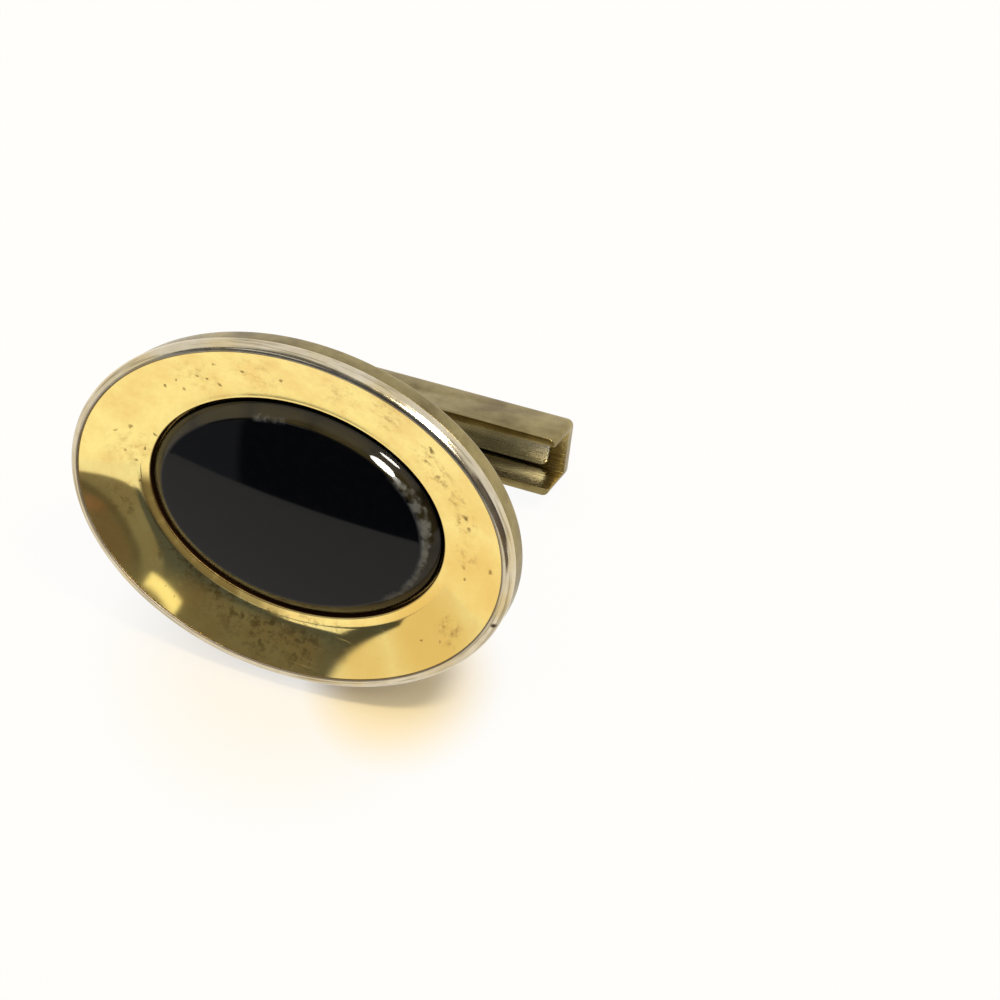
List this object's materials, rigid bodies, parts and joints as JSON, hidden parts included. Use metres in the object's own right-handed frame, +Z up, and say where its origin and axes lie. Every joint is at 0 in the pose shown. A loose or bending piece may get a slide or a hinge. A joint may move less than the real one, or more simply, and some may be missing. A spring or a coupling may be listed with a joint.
{
  "type": "cufflink",
  "caption": "Oval cufflink with a dished gold-plated face, black cabochon, silvery bead rim and a swivel bar on a post.",
  "frame": {"origin": "on the table under the middle of the part's box, as it rests on its lower edge and its bar", "axes": "+Z up from the table, +X along the oval, -Y the way the face looks"},
  "size_m": [0.0246, 0.0192, 0.0169],
  "materials": {
    "black_onyx": "polished, rubbed at the shoulder",
    "cement": "matte resin",
    "raw_brass": "unplated stamping",
    "gold_plate": "polished gold plate with small pits",
    "worn_bead": "polished white metal, plating worn off",
    "gilt_back": "dull gilt with tarnish",
    "spring_steel": "bright steel"
  },
  "bodies": {
    "face": {"stone": "black_onyx", "stone_cement": "cement", "stone_cup": "raw_brass", "gold_dish": "gold_plate", "rim_bead": "worn_bead", "back_plate": "gilt_back", "post_foot": "gilt_back", "post_stem": "gilt_back"},
    "toggle": {"toggle_bar": "gilt_back", "leaf_spring": "spring_steel", "pivot_pin": "spring_steel"}
  },
  "joints": [
    {"name": "bar_swivel", "type": "hinge", "parent": "face", "child": "toggle", "pos_m": [0, 0.007, 0.00238], "axis": [0, 0.4615, 0.8872], "range_deg": [-90, 90], "deforming": ["leaf_spring"]}
  ]
}
